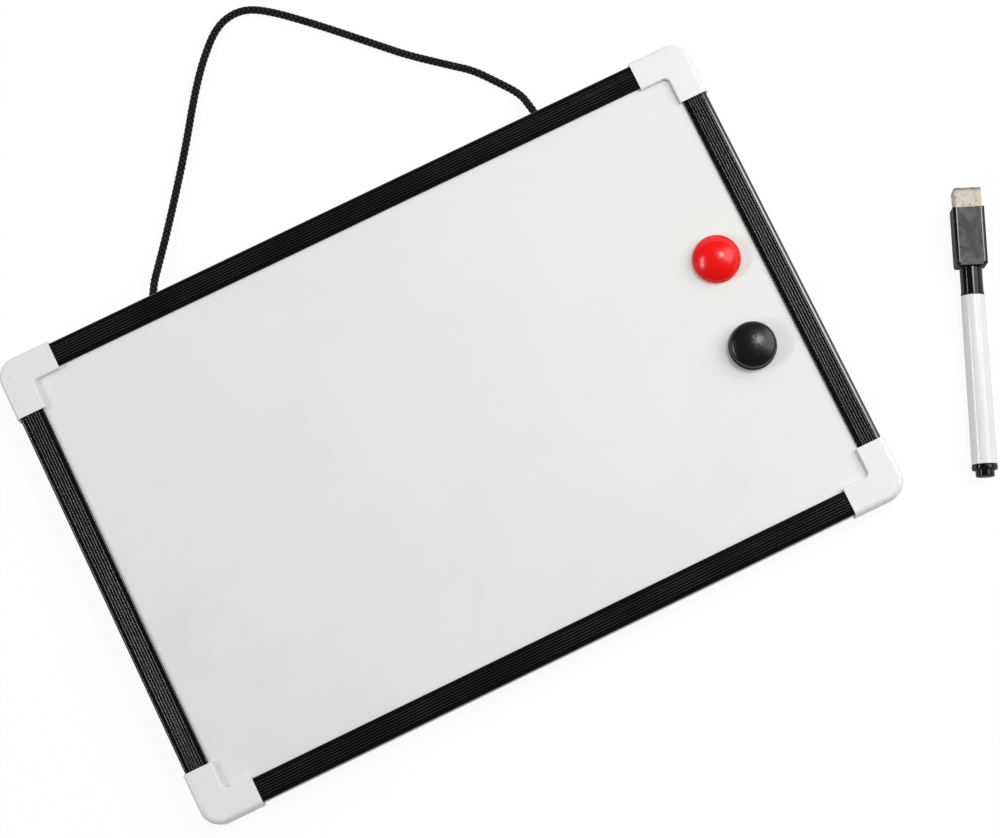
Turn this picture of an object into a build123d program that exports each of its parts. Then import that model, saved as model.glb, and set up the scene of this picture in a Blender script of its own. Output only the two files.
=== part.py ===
"""Hanging magnetic dry-wipe board with two button magnets and a mini marker.

The board lies face up. X runs along its long side, Y towards the rail that carries the
cord and Z up out of the writing face. The origin is the centre of the writing face. Heights
are measured from the table while the pieces are made, and each piece is then lowered so
that the writing face is at zero. All sizes are in millimetres.
"""
import os
from math import asin, cos, degrees, pi, radians, sin, tan

from build123d import *

# Board, over the corner caps
board_length = 300.0
board_width = 200.0

# Rail: a ribbed channel that wraps the panel's edge
rail_width = 10.0
rail_height = 9.0
rail_outer_wall = 1.2
rail_back_wall = 1.2
rail_front_wall = 1.4
rail_back_short = 1.6           # the back flange stops this far short of the front lip
rail_edge_radius = 1.2
rail_lip_radius = 0.6
rail_back_radius = 0.5
rail_end_radius = 0.3
rail_crown_radius = 30.0        # of the slightly convex face

# Ribs along the middle of a rail's face
rib_count = 6
rib_pitch = 1.09
rib_radius = 0.9
rib_depth = 0.25

# Panel: coated steel sheet, fibreboard core and back sheet
panel_bite = 2.6                # depth of the panel's edge inside a rail
panel_play = 0.2                # from the panel's edge to the stops
panel_stop_height = 1.2
panel_stop_thick = 0.8
face_sheet_thick = 0.4
back_sheet_thick = 0.3

# Corner cap: an L-shaped cover with a key for the end of each rail
cap_wall = 1.0
cap_lip_wall = 1.0              # wall that drops to the writing face inside the frame
cap_arm = 23.5
cap_corner_radius = 8.0
cap_inside_radius = 2.0
cap_lip_radius = 0.6
cap_back_radius = 0.4
cap_fit = 0.1
key_length = 12.0
key_lead = 0.8

# Cord, with points as (x, y beyond the cord rail's outer side, z above the table)
cord_diameter = 3.2
cord_rest = cord_diameter / 2 + 0.05
cord_exit = cap_wall + (rail_back_wall + rail_height - rail_front_wall) / 2
cord_hole_play = 1.4
cord_route = [
    (-83.2, -2.8, cord_exit),
    (-80.2, 3.6, cord_exit - 0.4),
    (-74.5, 11.0, cord_exit - 2.4),
    (-64.5, 23.7, cord_rest),
    (-46.3, 47.7, cord_rest),
    (-32.7, 67.6, cord_rest),
    (-23.2, 79.4, cord_rest),
    (-12.9, 89.0, cord_rest),
    (-2.7, 91.1, cord_rest),
    (6.4, 87.2, cord_rest),
    (21.4, 73.8, cord_rest),
    (41.8, 53.3, cord_rest),
    (50.4, 44.6, cord_rest),
    (64.2, 33.1, cord_rest),
    (71.2, 27.4, cord_rest),
    (76.6, 20.4, cord_rest),
    (83.7, 10.4, cord_exit - 2.6),
    (84.6, 4.0, cord_exit - 0.5),
    (85.8, -2.8, cord_exit),
]
knot_length = 9.0
knot_height = 5.8
knot_depth = 4.6
knot_round = 1.7

# Button magnets, with their places on the writing face
magnet_diameter = 19.0
magnet_height = 7.0
magnet_rim_height = 1.2
magnet_rim_step = 0.25
red_crown_rise = 4.3
red_shoulder_radius = 0.8
black_crown_rise = 2.3
black_shoulder_radius = 2.2
disc_diameter = 15.0
disc_thick = 3.5
disc_fit = 0.1
red_from_right = 15.9           # from the right rail's lip to the magnet's centre
black_from_right = 18.6
magnets_middle = -4.1           # Y midway between the two magnets
magnets_apart = 37.0

# Marker, with lengths in order from its tail
marker_stub_length = 2.6
marker_stub_diameter = 7.4
marker_flange_length = 2.2
marker_flange_diameter = 10.1
marker_barrel_length = 66.7
marker_barrel_tail_diameter = 10.0
marker_barrel_front_diameter = 9.3
marker_edge_radius = 0.5
marker_neck_length = 11.2
marker_neck_diameter = 8.8
marker_block_length = 23.1
marker_block_width = 12.4
marker_block_rise = 6.4         # from the marker's axis to the face with the magnet
marker_block_top_round = 1.2
marker_block_base_round = 1.4
marker_block_end_round = 1.0
marker_eraser_length = 8.0
marker_eraser_width = 11.0
marker_eraser_height = 10.0
marker_eraser_round = 1.6
marker_beyond_board = 28.9      # tail end, beyond the board's right side
marker_below_board = 7.7        # tail end, beyond the board's near side
marker_angle = 66.9             # from +X to the marker's axis

# Marker, inside
marker_wall = 1.0
marker_plug_depth = 6.0
marker_plug_fit = 0.05
marker_spigot_length = 8.5
marker_spigot_diameter = 7.0
marker_spigot_wall = 0.9
marker_cap_fit = 0.2
marker_cap_seat = 0.1           # from the cap's mouth to the barrel's shoulder
marker_mouth_lip = 0.15
marker_mouth_length = 1.2
marker_core_play = 0.35
marker_core_gap = 0.5
marker_nib_diameter = 2.4
marker_nib_fit = 0.05
marker_nib_reach = 4.5          # beyond the nib holder
marker_nib_in_core = 3.0
marker_holder_cone_length = 5.0
marker_holder_cone_tip = 3.8
marker_holder_cone_base = 6.4
marker_cap_clearance = 0.8      # inside the cap, beyond the nib
marker_strip_width = 9.0
marker_strip_thick = 1.2
marker_strip_fit = 0.1
marker_tongue_length = 2.3
marker_tongue_inset = 0.6
marker_tongue_fit = 0.1

# Worked out from the sizes above
rail_outer_length = board_length - 2 * cap_wall
rail_outer_width = board_width - 2 * cap_wall
channel_height = rail_height - rail_back_wall - rail_front_wall
panel_edge = rail_width - panel_bite
panel_back = cap_wall + rail_back_wall
face_height = cap_wall + rail_height - rail_front_wall
core_thick = channel_height - face_sheet_thick - back_sheet_thick
cap_block = cap_wall + rail_width
opening_half_length = rail_outer_length / 2 - rail_width

CORNER = (Align.MIN, Align.MIN)
FRONT_LEFT_BASE = (Align.MIN, Align.MIN, Align.MIN)
ON_BASE = (Align.CENTER, Align.CENTER, Align.MIN)
# Local X of a profile runs in from the outer side (+Y) and its local Y runs up (+Z)
SECTION = Plane(origin=(0, 0, 0), x_dir=(0, 1, 0), z_dir=(1, 0, 0))

pieces = {}


def corner_at(sketch, x, y):
    """The vertex of a sketch nearest to (x, y)."""
    return sketch.vertices().sort_by_distance((x, y, 0))[0]


# ---------------------------------------------------------------- rails

def rail_profile():
    """Section of a rail: walls, stops for the panel's edge and the ribbed face."""
    crown_centre = Pos(rail_width / 2, rail_height - rail_crown_radius)
    body = Rectangle(rail_width, rail_height, align=CORNER)
    body &= crown_centre * Circle(rail_crown_radius)
    channel = Pos(rail_outer_wall, rail_back_wall) * Rectangle(
        rail_width - rail_outer_wall, channel_height, align=CORNER)
    back_end = rail_width - rail_back_short
    short = Pos(back_end, 0) * Rectangle(rail_back_short, rail_back_wall, align=CORNER)
    section = body - channel - short

    lip_under = rail_height - rail_front_wall
    rounds = [
        (0, rail_height, rail_edge_radius),
        (rail_width, rail_height, rail_lip_radius),
        (0, 0, rail_back_radius),
        (rail_width, lip_under, rail_end_radius),
        (back_end, 0, rail_end_radius),
        (back_end, rail_back_wall, rail_end_radius),
    ]
    for x, y, radius in rounds:
        section = fillet(corner_at(section, x, y), radius)

    stop = Rectangle(panel_stop_thick, panel_stop_height, align=CORNER)
    stop_x = panel_edge - panel_play - panel_stop_thick
    section += Pos(stop_x, rail_back_wall) * stop
    section += Pos(stop_x, lip_under - panel_stop_height) * stop

    skin = Circle(rail_crown_radius) - Circle(rail_crown_radius - rib_depth)
    strip = Rectangle(rib_count * rib_pitch, 2 * rail_height)
    field = crown_centre * skin & Pos(rail_width / 2, rail_height) * strip
    section -= field
    for rib in range(rib_count):
        turn = degrees((rib - (rib_count - 1) / 2) * rib_pitch / rail_crown_radius)
        crest = Rot(0, 0, turn) * Pos(0, rail_crown_radius - rib_radius) * Circle(rib_radius)
        section += field & crown_centre * crest
    return section


def rail(outer_length, outer_offset):
    """A rail along X whose outer side faces -Y, cut square at the corner blocks."""
    length = outer_length - 2 * rail_width - 2 * cap_fit
    bar = extrude(SECTION * rail_profile(), length / 2, both=True)
    return Pos(0, -outer_offset, cap_wall) * bar


def hole_x(end, inner):
    """X at which the cord crosses the middle of the rail's outer wall."""
    share = (-rail_outer_wall / 2 - end[1]) / (inner[1] - end[1])
    return end[0] + share * (inner[0] - end[0])


def drill_cord_holes(bar):
    """Drill the cord rail for both ends of the cord."""
    for end, inner in (cord_route[:2], cord_route[:-3:-1]):
        at = Pos(hole_x(end, inner), rail_outer_width / 2, cord_exit)
        drill = Cylinder((cord_diameter + cord_hole_play) / 2, 4 * rail_outer_wall)
        bar -= at * Rot(90, 0, 0) * drill
    return bar


def add_rails():
    """The four rails, turned about the board's centre from the near one."""
    long_rail = rail(rail_outer_length, rail_outer_width / 2)
    short_rail = rail(rail_outer_width, rail_outer_length / 2)
    pieces["bottom_rail"] = long_rail
    pieces["top_rail"] = drill_cord_holes(Rot(0, 0, 180) * long_rail)
    pieces["right_rail"] = Rot(0, 0, 90) * short_rail
    pieces["left_rail"] = Rot(0, 0, -90) * short_rail


# ---------------------------------------------------------------- panel

def add_panel():
    """Back sheet, core and coated face, stacked in the rails' channel."""
    length = rail_outer_length - 2 * panel_edge
    width = rail_outer_width - 2 * panel_edge
    layers = [
        ("back_sheet", back_sheet_thick),
        ("core_board", core_thick),
        ("writing_sheet", face_sheet_thick),
    ]
    level = panel_back
    for name, thick in layers:
        pieces[name] = Pos(0, 0, level) * Box(length, width, thick, align=ON_BASE)
        level += thick


# ---------------------------------------------------------------- corner caps

def cap_shell():
    """Outside of a corner cap with its corner at the origin and its arms along +X and +Y."""
    width = cap_block + cap_lip_wall
    height = rail_height + 2 * cap_wall
    outline = Rectangle(cap_arm, width, align=CORNER) + Rectangle(width, cap_arm, align=CORNER)
    outline = fillet(corner_at(outline, 0, 0), cap_corner_radius)
    outline = fillet(corner_at(outline, width, width), cap_inside_radius)
    shell = extrude(outline, height)

    def rims(top):
        """Edges of the front or back face, apart from the arms' ends."""
        group = shell.edges().group_by(Axis.Z)[-1 if top else 0]
        return [e for e in group if max(e.center().X, e.center().Y) < cap_arm - cap_back_radius]

    def is_outer(edge):
        return min(edge.center().X, edge.center().Y) < width / 2

    shell = fillet([e for e in rims(True) if is_outer(e)], rail_edge_radius + cap_wall)
    shell = fillet([e for e in rims(True) if not is_outer(e)], cap_lip_radius)
    shell = fillet(rims(False), cap_back_radius)
    return shell


def rail_pocket():
    """Space for the end of a rail in the arm along +X."""
    pocket = Pos(-cap_fit, -cap_fit) * Rectangle(
        rail_width + 2 * cap_fit, rail_height + 2 * cap_fit, align=CORNER)
    pocket = fillet(corner_at(pocket, -cap_fit, rail_height + cap_fit), rail_edge_radius)
    return Pos(cap_block, cap_wall, cap_wall) * extrude(SECTION * pocket, cap_arm)


def rail_key():
    """Key on the arm along +X that fills the rail's hollow between wall and stops."""
    width = panel_edge - panel_play - panel_stop_thick - rail_outer_wall - 2 * cap_fit
    height = channel_height - 2 * cap_fit
    key = Box(key_length, width, height, align=FRONT_LEFT_BASE)
    key = chamfer(key.faces().sort_by(Axis.X)[-1].edges(), key_lead)
    return Pos(cap_block, cap_wall + rail_outer_wall + cap_fit, panel_back + cap_fit) * key


def corner_cap():
    """Corner cap: shell, pockets and keys for two rails, and a slot for the panel."""
    diagonal = Plane(origin=(0, 0, 0), z_dir=(1, -1, 0))
    slot_start = cap_wall + panel_edge - cap_fit
    slot = Box(cap_arm, cap_arm, channel_height + 2 * cap_fit, align=FRONT_LEFT_BASE)
    cap = cap_shell() - Pos(slot_start, slot_start, panel_back - cap_fit) * slot
    for shape in (rail_pocket(), mirror(rail_pocket(), about=diagonal)):
        cap -= shape
    for shape in (rail_key(), mirror(rail_key(), about=diagonal)):
        cap += shape
    return cap


def add_corner_caps():
    """The same moulding, turned into each corner."""
    cap = corner_cap()
    corners = [
        ("corner_bottom_left", -1, -1, 0),
        ("corner_bottom_right", 1, -1, 90),
        ("corner_top_right", 1, 1, 180),
        ("corner_top_left", -1, 1, 270),
    ]
    for name, side_x, side_y, turn in corners:
        at = Pos(side_x * board_length / 2, side_y * board_width / 2, 0)
        pieces[name] = at * Rot(0, 0, turn) * cap


# ---------------------------------------------------------------- cord

def bend_radii(points):
    """Radius of the arc at each inner point, as large as its two runs allow."""
    radii = []
    for before, here, after in zip(points, points[1:], points[2:]):
        turn = radians((here - before).get_angle(after - here))
        run = min((here - before).length, (after - here).length)
        radii.append(0.45 * run / tan(turn / 2))
    return radii


def add_cord():
    """Cord through both holes of the cord rail, knotted inside its hollow."""
    points = [Vector(x, y + rail_outer_width / 2, z) for x, y, z in cord_route]
    radii = bend_radii(points)
    line = FilletPolyline(*points, radius=radii)
    cord = sweep((line ^ 0) * Circle(cord_diameter / 2), path=line)
    pieces["hanging_cord"] = cord
    print("cord: length %.1f, bend radii %s" % (line.length, [round(r, 1) for r in radii]))
    print("cord: volume / (section x length) = %.4f"
          % (cord.volume / (pi * cord_diameter ** 2 / 4 * line.length)))

    knot = extrude(SlotOverall(knot_length, knot_height), knot_depth)
    knot = fillet(knot.faces().sort_by(Axis.Z)[-1].edges(), knot_round)
    knot = fillet(knot.faces().sort_by(Axis.Z)[0].edges(), knot_round / 3)
    wall_inside = rail_outer_width / 2 - rail_outer_wall
    knots = [
        Pos(hole_x(end, inner), wall_inside, cord_exit) * Rot(90, 0, 0) * knot
        for end, inner in (cord_route[:2], cord_route[:-3:-1])
    ]
    pieces["cord_knots"] = Compound(children=knots)


# ---------------------------------------------------------------- magnets

def magnet_cap(crown_rise, shoulder_radius):
    """Domed button with a stepped rim and a pocket for its disc."""
    radius = magnet_diameter / 2
    side = radius - magnet_rim_step
    edge_height = magnet_height - crown_rise
    crown_radius = (side ** 2 + crown_rise ** 2) / (2 * crown_rise)
    half_arc = asin(side / crown_radius) / 2
    bulge = magnet_height - crown_radius + crown_radius * cos(half_arc)
    outline = make_face(
        Polyline((0, magnet_height), (0, 0), (radius, 0), (radius, magnet_rim_height),
                 (side, magnet_rim_height), (side, edge_height))
        + ThreePointArc((side, edge_height), (crown_radius * sin(half_arc), bulge),
                        (0, magnet_height))
    )
    outline = fillet(corner_at(outline, side, edge_height), shoulder_radius)
    cap = revolve(Plane.XZ * outline, Axis.Z)
    pocket = Cylinder(disc_diameter / 2 + disc_fit, disc_thick, align=ON_BASE)
    return cap - pocket


def add_magnets():
    """Two button magnets, each a moulded cap over a ferrite disc."""
    disc = Cylinder(disc_diameter / 2, disc_thick, align=ON_BASE)
    buttons = [
        ("red_magnet", magnet_cap(red_crown_rise, red_shoulder_radius),
         red_from_right, magnets_middle + magnets_apart / 2),
        ("black_magnet", magnet_cap(black_crown_rise, black_shoulder_radius),
         black_from_right, magnets_middle - magnets_apart / 2),
    ]
    for name, cap, from_right, y in buttons:
        at = Pos(opening_half_length - from_right, y, face_height)
        pieces[name + "_cap"] = at * cap
        pieces[name + "_disc"] = at * disc
        travel_low = -opening_half_length + magnet_diameter / 2 - (opening_half_length - from_right)
        travel_high = from_right - magnet_diameter / 2
        print("%s: x %.2f, y %.2f, reaches the rails at %.2f and %.2f"
              % (name, opening_half_length - from_right, y, travel_low, travel_high))


# ---------------------------------------------------------------- marker

def rod(start, length, diameter, end_diameter=None):
    """Round bar or cone along the marker's axis, from start towards its cap."""
    if end_diameter is None or end_diameter == diameter:
        bar = Cylinder(diameter / 2, length, align=ON_BASE)
    else:
        bar = Cone(diameter / 2, end_diameter / 2, length, align=ON_BASE)
    return Pos(start, 0, 0) * Rot(0, 90, 0) * bar


def block(start, length, width, low, high):
    """Square bar along the marker's axis, between two heights from the axis."""
    return Pos(start, -width / 2, low) * Box(length, width, high - low, align=FRONT_LEFT_BASE)


def add_marker():
    """Marker built along X from its tail end, then laid down beside the board."""
    barrel_start = marker_stub_length + marker_flange_length
    shoulder = barrel_start + marker_barrel_length
    spigot_end = shoulder + marker_spigot_length
    bore = marker_barrel_front_diameter - 2 * marker_wall
    spigot_bore = marker_spigot_diameter - 2 * marker_spigot_wall
    bore_end = shoulder - marker_wall
    holder_end = spigot_end + marker_holder_cone_length
    nib_tip = holder_end + marker_nib_reach
    mouth = shoulder + marker_cap_seat
    block_start = shoulder + marker_neck_length
    block_end = block_start + marker_block_length
    axis_height = marker_flange_diameter / 2

    barrel = rod(barrel_start, marker_barrel_length,
                 marker_barrel_tail_diameter, marker_barrel_front_diameter)
    barrel = fillet(barrel.edges().sort_by(Axis.X)[-1], marker_edge_radius)
    barrel += rod(shoulder, marker_spigot_length, marker_spigot_diameter)
    barrel -= rod(barrel_start, bore_end - barrel_start, bore)
    barrel -= rod(bore_end, spigot_end - bore_end, spigot_bore)

    plug = rod(0, marker_stub_length, marker_stub_diameter)
    plug = fillet(plug.edges().sort_by(Axis.X)[0], marker_edge_radius)
    flange = rod(marker_stub_length, marker_flange_length, marker_flange_diameter)
    plug += fillet(flange.edges(), marker_edge_radius)
    plug_end = barrel_start + marker_plug_depth
    plug += rod(barrel_start, marker_plug_depth, bore - 2 * marker_plug_fit)

    core_start = plug_end + marker_core_gap
    core_end = bore_end - marker_core_gap
    nib_start = core_end - marker_nib_in_core
    nib_hole = marker_nib_diameter + 2 * marker_nib_fit
    core = rod(core_start, core_end - core_start, bore - 2 * marker_core_play)
    core -= rod(nib_start, marker_nib_in_core, nib_hole)

    holder = rod(bore_end, spigot_end - bore_end, spigot_bore - 2 * marker_nib_fit)
    holder += rod(spigot_end, marker_holder_cone_length,
                  marker_holder_cone_base, marker_holder_cone_tip)
    holder -= rod(bore_end, holder_end - bore_end, nib_hole)

    nib = rod(nib_start, nib_tip - nib_start, marker_nib_diameter)
    nib = fillet(nib.edges().sort_by(Axis.X)[-1], 0.45 * marker_nib_diameter)

    low = -axis_height
    body = block(block_start, marker_block_length, marker_block_width, low, marker_block_rise)
    long_edges = body.edges().filter_by(Axis.X).group_by(Axis.Z)
    body = fillet(long_edges[-1], marker_block_top_round)
    long_edges = body.edges().filter_by(Axis.X).group_by(Axis.Z)
    body = fillet(long_edges[0], marker_block_base_round)
    body = fillet(body.faces().sort_by(Axis.X)[0].edges(), marker_block_end_round)
    neck = rod(mouth, block_start + marker_block_end_round - mouth, marker_neck_diameter)
    neck += rod(mouth, marker_mouth_length, marker_neck_diameter + 2 * marker_mouth_lip)
    cap = body + neck
    well_end = holder_end + marker_cap_clearance
    cap -= rod(mouth, well_end - mouth, marker_spigot_diameter + 2 * marker_cap_fit)
    tip_well = marker_nib_diameter + 2 * marker_cap_clearance
    cap -= rod(well_end, nib_tip + marker_cap_clearance - well_end, tip_well)

    strip_base = marker_block_rise - marker_strip_thick
    strip = block(block_start + marker_strip_fit, marker_block_length - 2 * marker_strip_fit,
                  marker_strip_width, strip_base, marker_block_rise)
    cap -= block(block_start - 1, marker_block_length + 2,
                 marker_strip_width + 2 * marker_strip_fit, strip_base, marker_block_rise + 1)

    eraser_low = low + (strip_base - low - marker_eraser_height) / 2 + marker_strip_fit
    eraser = block(block_end, marker_eraser_length, marker_eraser_width,
                   eraser_low, eraser_low + marker_eraser_height)
    eraser = fillet(eraser.edges().filter_by(Axis.X), marker_eraser_round)
    tongue_start = block_end - marker_tongue_length
    tongue_width = marker_eraser_width - 2 * marker_tongue_inset
    tongue_low = eraser_low + marker_tongue_inset
    tongue_high = eraser_low + marker_eraser_height - marker_tongue_inset
    eraser += block(tongue_start, marker_tongue_length, tongue_width, tongue_low, tongue_high)
    cap -= block(tongue_start, marker_tongue_length + 1, tongue_width + 2 * marker_tongue_fit,
                 tongue_low - marker_tongue_fit, tongue_high + marker_tongue_fit)

    tail_x = board_length / 2 + marker_beyond_board
    tail_y = -board_width / 2 - marker_below_board
    lay_down = Pos(tail_x, tail_y, axis_height) * Rot(0, 0, marker_angle)
    parts = {
        "marker_barrel": barrel,
        "marker_tail_plug": plug,
        "marker_ink_core": core,
        "marker_nib_holder": holder,
        "marker_nib": nib,
        "marker_cap": cap,
        "marker_cap_magnet": strip,
        "marker_eraser": eraser,
    }
    for name, shape in parts.items():
        pieces[name] = lay_down * shape
    direction = (cos(radians(marker_angle)), sin(radians(marker_angle)))
    strip_middle = pieces["marker_cap_magnet"].center()
    print("marker: axis %.5f %.5f, cap leaves the nib after %.2f, strip middle %.2f %.2f"
          % (*direction, nib_tip - mouth, strip_middle.X, strip_middle.Y))


add_rails()
add_panel()
add_corner_caps()
add_cord()
add_magnets()
add_marker()

os.makedirs("parts", exist_ok=True)
for piece_name, piece in pieces.items():
    lowered = Pos(0, 0, -face_height) * piece
    export_step(lowered, os.path.join("parts", piece_name + ".step"))
print("%d nodes, writing face %.2f above the table" % (len(pieces), face_height))
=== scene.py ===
"""Looks of the hanging dry-wipe board set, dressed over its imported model.

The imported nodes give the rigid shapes: the panel, the rails, the corner caps, the button
magnets and the marker. This file gives them their finishes, braids the hanging cord and its
knots, builds the worn felt eraser, and sets up the studio. Lengths are metres, in the frame
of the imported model: the origin is the centre of the writing face, X runs along the board,
Y towards the cord and Z out of the face.
"""
from __future__ import annotations

import logging
import math
from collections.abc import Callable
from dataclasses import dataclass, replace
from enum import Enum
from typing import ClassVar

import bmesh
import bpy
from mathutils import Matrix, Vector, noise


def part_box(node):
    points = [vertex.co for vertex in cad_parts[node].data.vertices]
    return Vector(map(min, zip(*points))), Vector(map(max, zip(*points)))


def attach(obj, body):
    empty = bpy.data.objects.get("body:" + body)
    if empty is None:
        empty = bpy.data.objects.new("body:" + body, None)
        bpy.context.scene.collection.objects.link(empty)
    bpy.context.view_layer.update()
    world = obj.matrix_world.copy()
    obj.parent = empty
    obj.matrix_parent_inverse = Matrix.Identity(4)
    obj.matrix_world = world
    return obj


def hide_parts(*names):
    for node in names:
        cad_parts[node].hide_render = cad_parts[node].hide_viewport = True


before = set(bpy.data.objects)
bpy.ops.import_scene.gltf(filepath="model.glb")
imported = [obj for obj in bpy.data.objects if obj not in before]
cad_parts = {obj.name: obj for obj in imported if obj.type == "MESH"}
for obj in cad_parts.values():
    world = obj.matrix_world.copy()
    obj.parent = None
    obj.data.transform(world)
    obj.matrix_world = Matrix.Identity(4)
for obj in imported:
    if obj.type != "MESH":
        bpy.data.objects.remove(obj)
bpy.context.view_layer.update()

log = logging.getLogger("board_set")

Colour = tuple[float, float, float]
Point = tuple[float, float, float]
Relief = tuple[float, float]  # metres that a full height stands for, and share that shows
Node = bpy.types.Node
Outputs = bpy.types.NodeOutputs
Piece = bpy.types.Object
Socket = bpy.types.NodeSocket
Tree = bpy.types.NodeTree

TABLE = -0.00862  # height of the table top
FULL_TURN = 2 * math.pi


class Body(str, Enum):
    """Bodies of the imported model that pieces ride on."""

    BOARD = "board"
    CAP = "marker_cap_unit"


class Run(Enum):
    """Direction that a rail was drawn in. Its value is the axis that crosses it."""

    ALONG_X = "Y"
    ALONG_Y = "X"


def grey(level: float) -> Colour:
    """Returns a neutral colour of one level."""
    return (level, level, level)


@dataclass(frozen=True)
class Grain:
    """A noise pattern: its scale per metre, octaves, roughness and warp.

    It can be scaled on each axis and then turned about Z. As patches, it fades in from the
    low noise value to the high one.
    """

    scale: float | Socket = 1.0
    detail: float = 2.0
    rough: float = 0.5
    warp: float = 0.0
    stretch: Point | None = None
    turn: float = 0.0
    low: float = 0.0
    high: float = 1.0


# ---------------------------------------------------------------- node trees


class Wiring:
    """Short calls for adding nodes to one node tree."""

    def __init__(self, tree: Tree) -> None:
        """Starts on a shader or geometry tree."""
        self.tree = tree

    def add(self, kind: str, sockets: dict | None = None, **settings: object) -> Node:
        """Adds one node.

        Args:
            kind: the node's type name.
            sockets: value or linked socket for each input, by name or number.
            settings: properties of the node.

        Returns:
            The new node.
        """
        node = self.tree.nodes.new(kind)
        for key, value in settings.items():
            setattr(node, key, value)
        for key, value in (sockets or {}).items():
            self.feed(node.inputs[key], value)
        return node

    def take(self, kind: str, sockets: dict | None = None, **settings: object) -> Socket:
        """Returns the first output of a new node. The arguments are those of add."""
        return self.add(kind, sockets, **settings).outputs[0]

    def feed(self, socket: Socket, value: object) -> None:
        """Links a socket to another one, or sets its value.

        Args:
            socket: the input.
            value: another node's output, or a plain value.
        """
        if isinstance(value, Socket):
            self.tree.links.new(value, socket)
        elif isinstance(value, tuple) and len(value) == 3 and socket.type == "RGBA":
            socket.default_value = (*value, 1.0)
        else:
            socket.default_value = value

    def math(self, operation: str, a: object, b: object = 0.0, clamp: bool = False) -> Socket:
        """Returns the result of a Math node on one or two values."""
        return self.take("ShaderNodeMath", {0: a, 1: b}, operation=operation, use_clamp=clamp)

    def times(self, a: object, b: object) -> Socket:
        """Returns the product of two values."""
        return self.math("MULTIPLY", a, b)

    def plus(self, a: object, b: object) -> Socket:
        """Returns the sum of two values."""
        return self.math("ADD", a, b)

    def total(self, base: object, *parts: tuple[object, object]) -> Socket:
        """Adds shares of other values to a value.

        Args:
            base: the value.
            parts: what is added, and the share of it.

        Returns:
            The sum.
        """
        for value, share in parts:
            base = self.plus(base, self.times(value, share))
        return base

    def vector(self, operation: str, a: object, b: object = None,
               scale: object = None) -> Socket:
        """Adds a Vector Math node.

        Args:
            operation: its operation.
            a: the first vector.
            b: the second vector, where it has one.
            scale: the factor of a scaling.

        Returns:
            The number that it measures, or else its vector.
        """
        given = {0: a, 1: b, "Scale": scale}
        node = self.add("ShaderNodeVectorMath",
                        {key: value for key, value in given.items() if value is not None},
                        operation=operation)
        return node.outputs["Value" if operation in ("DOT_PRODUCT", "DISTANCE") else 0]

    def axis(self, at: Socket, letter: str) -> Socket:
        """Returns one coordinate of a vector."""
        return self.add("ShaderNodeSeparateXYZ", {0: at}).outputs[letter]

    def point(self, x: object = 0.0, y: object = 0.0, z: object = 0.0) -> Socket:
        """Returns a vector of three coordinates."""
        return self.take("ShaderNodeCombineXYZ", {0: x, 1: y, 2: z})

    def spread(self, value: object, low: float, high: float, to_low: float = 0.0,
               to_high: float = 1.0) -> Socket:
        """Carries a value smoothly from one range to another, and keeps it inside.

        Args:
            value: the value.
            low: start of its range.
            high: end of its range.
            to_low: what the start becomes.
            to_high: what the end becomes.

        Returns:
            The new value.
        """
        return self.take("ShaderNodeMapRange", {
            "Value": value, "From Min": low, "From Max": high, "To Min": to_low,
            "To Max": to_high}, interpolation_type="SMOOTHSTEP")

    def noise(self, at: Socket, grain: Grain) -> Socket:
        """Adds a Noise Texture.

        Args:
            at: coordinates.
            grain: the pattern.

        Returns:
            Its factor.
        """
        if grain.stretch is not None:
            at = self.take("ShaderNodeMapping", {
                "Vector": at, "Rotation": (0.0, 0.0, grain.turn), "Scale": grain.stretch})
        return self.add("ShaderNodeTexNoise", {
            "Vector": at, "Scale": grain.scale, "Detail": grain.detail,
            "Roughness": grain.rough, "Distortion": grain.warp}).outputs["Fac"]

    def patches(self, at: Socket, grain: Grain) -> Socket:
        """Returns a mask of the patches of a noise pattern."""
        return self.spread(self.noise(at, grain), grain.low, grain.high)

    def blend(self, share: object, a: object, b: object) -> Socket:
        """Mixes two colours.

        Args:
            share: share of the second colour.
            a: the first colour.
            b: the second colour.

        Returns:
            The mix.
        """
        return self.add("ShaderNodeMix", {"Factor": share, 6: a, 7: b},
                        data_type="RGBA").outputs[2]

    def coats(self, base: object, *coats: tuple[Socket, float, Colour]) -> Socket:
        """Lays colours over a colour.

        Args:
            base: the lowest colour.
            coats: mask, share and colour of each coat, from below.

        Returns:
            The colour on top.
        """
        for mask, share, colour in coats:
            base = self.blend(self.times(mask, share), base, colour)
        return base

    def relief(self, *steps: tuple[Socket, Relief]) -> Socket:
        """Adds Bump nodes, each on top of the one before.

        Args:
            steps: height from 0 to 1 of each, and its relief.

        Returns:
            The normal of the last one.
        """
        below = {}
        for height, (depth, strength) in steps:
            below = {"Normal": self.take("ShaderNodeBump", {
                "Height": height, "Distance": depth, "Strength": strength, **below})}
        return below["Normal"]

    def attribute(self, name: str) -> Socket:
        """Returns a number that the mesh carries, in a material."""
        return self.add("ShaderNodeAttribute", attribute_name=name).outputs["Fac"]

    def rays(self) -> tuple[Socket, Socket, Socket]:
        """Adds a Light Path node.

        Returns:
            The shares of camera rays, of mirrored or refracted rays, and of diffuse rays.
        """
        ray = self.add("ShaderNodeLightPath").outputs
        mirrored = self.math("MAXIMUM", ray["Is Glossy Ray"], ray["Is Transmission Ray"])
        return ray["Is Camera Ray"], mirrored, ray["Is Diffuse Ray"]

    def store(self, geometry: Socket, name: str, value: object, kind: str,
              domain: str = "POINT") -> Socket:
        """Stores a named attribute.

        Args:
            geometry: the geometry that gets it.
            name: its name.
            value: its value.
            kind: its data type.
            domain: what carries it.

        Returns:
            The geometry.
        """
        return self.take("GeometryNodeStoreNamedAttribute",
                         {"Geometry": geometry, "Name": name, "Value": value},
                         data_type=kind, domain=domain)

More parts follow.
